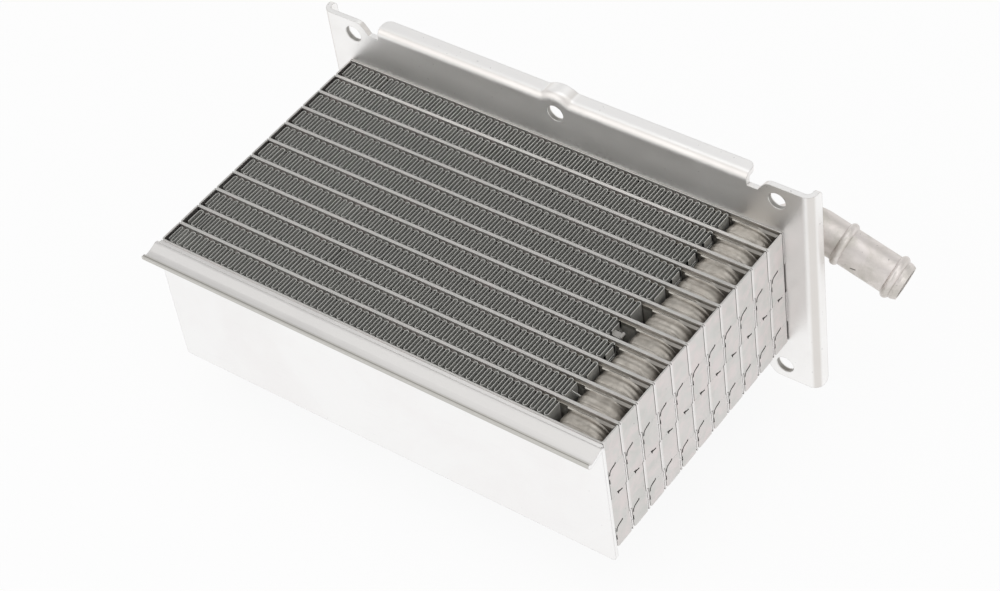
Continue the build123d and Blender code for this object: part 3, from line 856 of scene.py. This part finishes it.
bore_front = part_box("flange")[0].y + BORE_FROM_FACE
bore_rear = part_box("flange")[0].y + FLANGE_SHEET - BORE_FROM_FACE
bore_shade_boxes = [
    coloured_box(
        (x - BORE_REACH, bore_front, z - BORE_REACH), (x + BORE_REACH, bore_rear, z + BORE_REACH),
        BORE_FADE, BORE_SHADE_COLOUR,
    )
    for z in (SCREW_RISE, -SCREW_RISE)
    for x in (-SCREW_SIDE, 0.0, SCREW_SIDE)
]
flange_finish = aluminium(
    "Flange sheet", FLANGE_COLOUR, FLANGE_STAIN, (0.38, 0.48), cloud_size=0.04, cloud_share=0.5,
    spot_share=0.08, scratch_share=0.0, edge=FLANGE_EDGE, edge_share=0.6, edge_reach=0.0007,
    bend=(FLANGE_BEND_SHADE, 0.9), boxes=bore_shade_boxes,
)
dress("flange", flange_finish)


# Coolant pipes and their collars. Drawn aluminium tube, bent, with two rolled beads that hold the
# hose. Each pipe stands in a hole of the flange and is brazed there, with a collar round it.

PIPE_COLOUR = (0.77, 0.725, 0.70)
PIPE_STAIN = (0.55, 0.53, 0.48)
PIPE_PATCH = (0.80, 0.74, 0.71)
GOUGE_COLOUR = (0.13, 0.12, 0.11)  # a short cut in the side of the upper pipe
GOUGE_LOW = (110.0 * MM, 14.0 * MM, 2.9 * MM)
GOUGE_HIGH = (112.2 * MM, 18.0 * MM, 3.4 * MM)
GOUGE_FADE = 0.12 * MM

pipe_finish = aluminium(
    "Drawn pipe", PIPE_COLOUR, PIPE_STAIN, (0.40, 0.52), cloud_size=0.009, cloud_share=0.75,
    spot_share=0.09, corner_share=0.75, rounding=0.0002, patch=(PIPE_PATCH, 0.35),
    boxes=(coloured_box(GOUGE_LOW, GOUGE_HIGH, GOUGE_FADE, GOUGE_COLOUR),),
)
for side in ("upper", "lower"):
    dress(f"{side}_pipe", pipe_finish)
    dress(f"{side}_pipe_collar", pipe_finish)


# Studio: a white floor and surroundings that the metal reflects, soft lamps, and the camera at the
# height and angle from which the part is best seen.

FLOOR_LEVEL = cad_box[0].z
FLOOR_SIZE = 6.0
FLOOR_SHARE = 0.92  # of the floor's white that doesn't depend on the light
FLOOR_COLOUR = (0.86, 0.86, 0.86)


def floor_material():
    """Nearly white where it is seen, directly or mirrored, with the part's soft shadow on it."""
    material = bpy.data.materials.new("Studio floor")
    material.use_nodes = True
    tree = material.node_tree
    tree.nodes.clear()
    seen = tree.nodes.new("ShaderNodeLightPath").outputs
    shown = reckon(tree, "MAXIMUM", seen["Is Camera Ray"], seen["Is Glossy Ray"])
    shown = reckon(tree, "MAXIMUM", shown, seen["Is Transmission Ray"])
    share = reckon(tree, "MULTIPLY", shown, FLOOR_SHARE)
    matt = add_node(tree, "BsdfDiffuse", {"Color": (*FLOOR_COLOUR, 1)}).outputs[0]
    glow = add_node(tree, "Emission", {"Color": (1, 1, 1, 1), "Strength": 1.0}).outputs[0]
    mixed = add_node(tree, "MixShader", {0: share, 1: matt, 2: glow}).outputs[0]
    leave = tree.nodes.new("ShaderNodeOutputMaterial")
    tree.links.new(mixed, leave.inputs["Surface"])
    return material


half = FLOOR_SIZE / 2
floor_corners = [
    (x, y, FLOOR_LEVEL) for x, y in ((-half, -half), (half, -half), (half, half), (-half, half))
]
floor = new_piece("studio_floor", floor_corners, [(0, 1, 2, 3)], floor_material())

WALL_LEVEL = 1.0  # brightness of what the metal mirrors from the sides, and then from above
CEILING_LEVEL = 0.62
WALL_TOP = 0.15  # the walls turn into the ceiling between these heights of a unit direction
CEILING_START = 0.7
AMBIENT_LEVEL = 0.6  # what lights the part from all round

world = bpy.data.worlds.new("Studio")
bpy.context.scene.world = world
world.use_nodes = True
sky = world.node_tree
seen = sky.nodes.new("ShaderNodeLightPath").outputs
direction = add_node(sky, "TexCoord").outputs["Generated"]
upward = add_node(sky, "SeparateXYZ", {0: direction}).outputs["Z"]
level = AMBIENT_LEVEL
for ray, brightness in (
    ("Is Glossy Ray",
     smooth_step(sky, upward, WALL_TOP, CEILING_START, WALL_LEVEL, CEILING_LEVEL)),
    ("Is Camera Ray", 1.0),
):
    level = add_node(
        sky, "Mix", {"Factor": seen[ray], "A": level, "B": brightness}, data_type="FLOAT"
    ).outputs["Result"]
backdrop = sky.nodes["Background"]
backdrop.inputs["Color"].default_value = (1, 1, 1, 1)
sky.links.new(level, backdrop.inputs["Strength"])

LAMPS_AIM = (0.0, -0.05, 0.0)


def lamp(name, place, width, height, power):
    """A soft rectangular lamp that faces the middle of the part."""
    light = bpy.data.lights.new(name, "AREA")
    light.shape = "RECTANGLE"
    light.size = width
    light.size_y = height
    light.energy = power
    made = bpy.data.objects.new(name, light)
    bpy.context.collection.objects.link(made)
    made.location = place
    made.rotation_euler = (Vector(LAMPS_AIM) - Vector(place)).to_track_quat("-Z", "Y").to_euler()


lamp("Key lamp", (-0.7, -1.0, 1.0), width=1.6, height=1.2, power=5.0)
lamp("Side lamp", (1.2, -0.3, 0.9), width=1.0, height=1.0, power=3.0)
lamp("Top lamp", (0.0, 0.2, 1.5), width=1.4, height=1.2, power=4.0)

CAMERA_PLACE = (0.44326, -0.52714, 0.65248)
CAMERA_TURN = (44.218, 6.535, 35.869)  # degrees about X, Y and Z
CAMERA_LENS = 93.09

camera_data = bpy.data.cameras.new("Camera")
camera_data.sensor_fit = "HORIZONTAL"
camera_data.sensor_width = 36.0
camera_data.lens = CAMERA_LENS
camera_data.clip_start = 0.01
camera_data.clip_end = 20.0
camera = bpy.data.objects.new("Camera", camera_data)
bpy.context.collection.objects.link(camera)
camera.location = CAMERA_PLACE
camera.rotation_euler = Euler([math.radians(angle) for angle in CAMERA_TURN], "XYZ")
bpy.context.scene.camera = camera
bpy.context.scene.view_settings.view_transform = "Standard"
